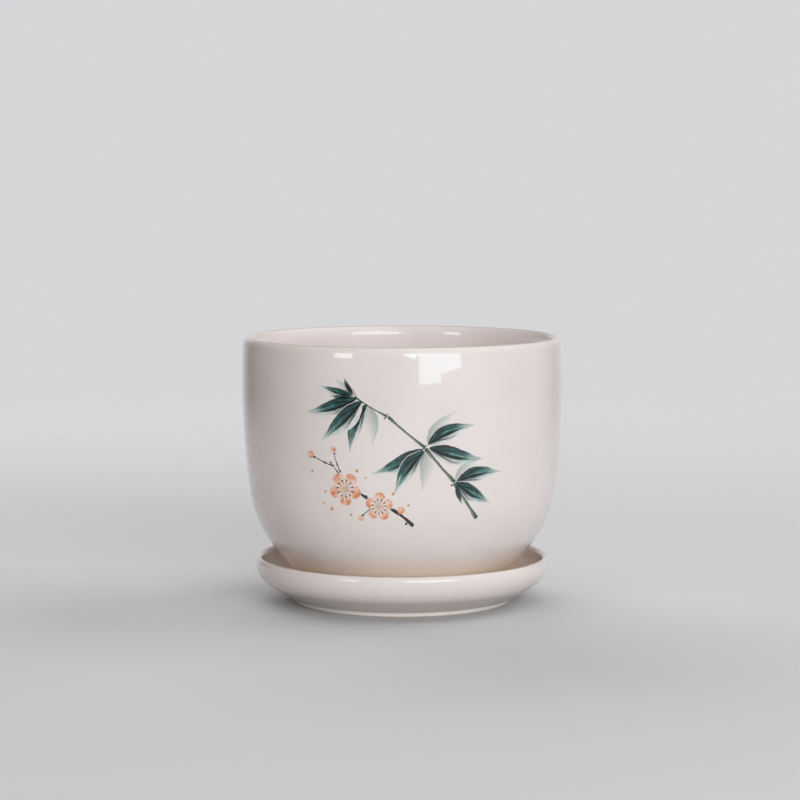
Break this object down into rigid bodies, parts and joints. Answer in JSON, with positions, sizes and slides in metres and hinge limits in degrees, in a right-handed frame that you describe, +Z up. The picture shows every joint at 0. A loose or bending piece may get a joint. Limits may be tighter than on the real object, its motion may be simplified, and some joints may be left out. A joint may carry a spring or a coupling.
{
  "type": "ceramic planter with saucer",
  "caption": "Round glazed ceramic plant pot with a drain hole, standing in its own drip saucer; the pot lifts straight out.",
  "frame": {"origin": "on the common axis of pot and saucer, at the level that the saucer's foot ring stands on", "axes": "+Z up along the axis of revolution; -Y faces the viewer of the decorated side, +X is to that viewer's right"},
  "size_m": [0.1268, 0.1268, 0.105],
  "materials": {
    "pot_glaze": "gloss ivory glaze with a small brush-painted spray",
    "saucer_glaze": "gloss ivory glaze, bare foot ring"
  },
  "bodies": {
    "saucer": {"saucer": "saucer_glaze"},
    "pot": {"pot": "pot_glaze"}
  },
  "joints": [
    {"name": "pot_lift", "type": "slide", "parent": "saucer", "child": "pot", "axis": [0, 0, 1], "range_m": [0, 0.05]}
  ]
}
